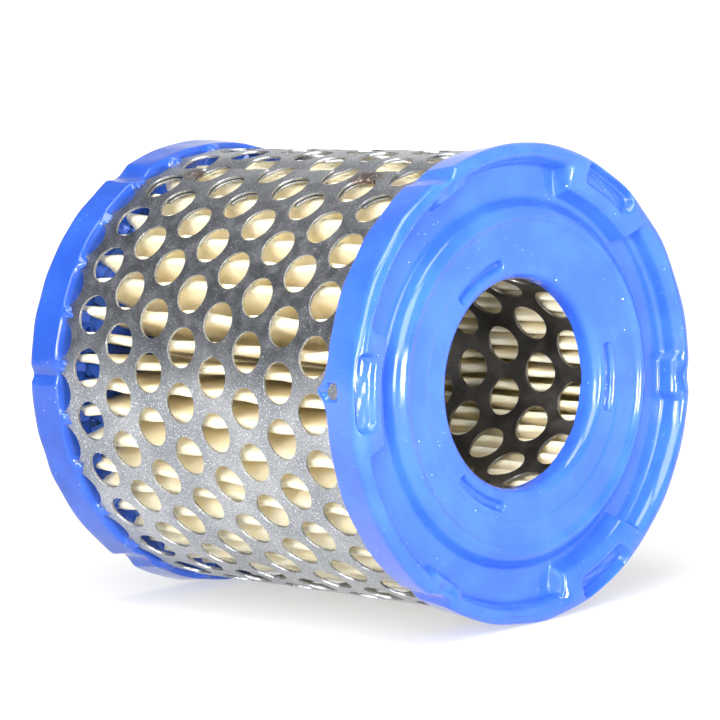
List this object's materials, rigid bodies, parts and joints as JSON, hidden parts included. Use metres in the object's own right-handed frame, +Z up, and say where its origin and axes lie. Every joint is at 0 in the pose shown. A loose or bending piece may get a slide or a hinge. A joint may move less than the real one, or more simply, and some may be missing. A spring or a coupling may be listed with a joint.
{
  "type": "small-engine air filter cartridge",
  "caption": "Round air filter cartridge: pleated paper between perforated steel tubes, with soft cast blue end caps and a through bore.",
  "frame": {"origin": "on the floor under the middle of the cartridge, which lies on its side", "axes": "+X along the filter's axis out of the front cap, +Z up"},
  "size_m": [0.113, 0.108, 0.1077],
  "materials": {
    "blue_polyurethane": "satin",
    "galvanised_sheet": "satin",
    "tube_steel": "satin",
    "filter_paper": "matte",
    "clip_steel": "satin"
  },
  "bodies": {
    "root": {"front_end_cap": "blue_polyurethane", "rear_end_cap": "blue_polyurethane", "outer_cage": "galvanised_sheet", "inner_tube": "tube_steel", "pleated_paper": "filter_paper", "pleat_seam_clip": "clip_steel"}
  },
  "joints": []
}
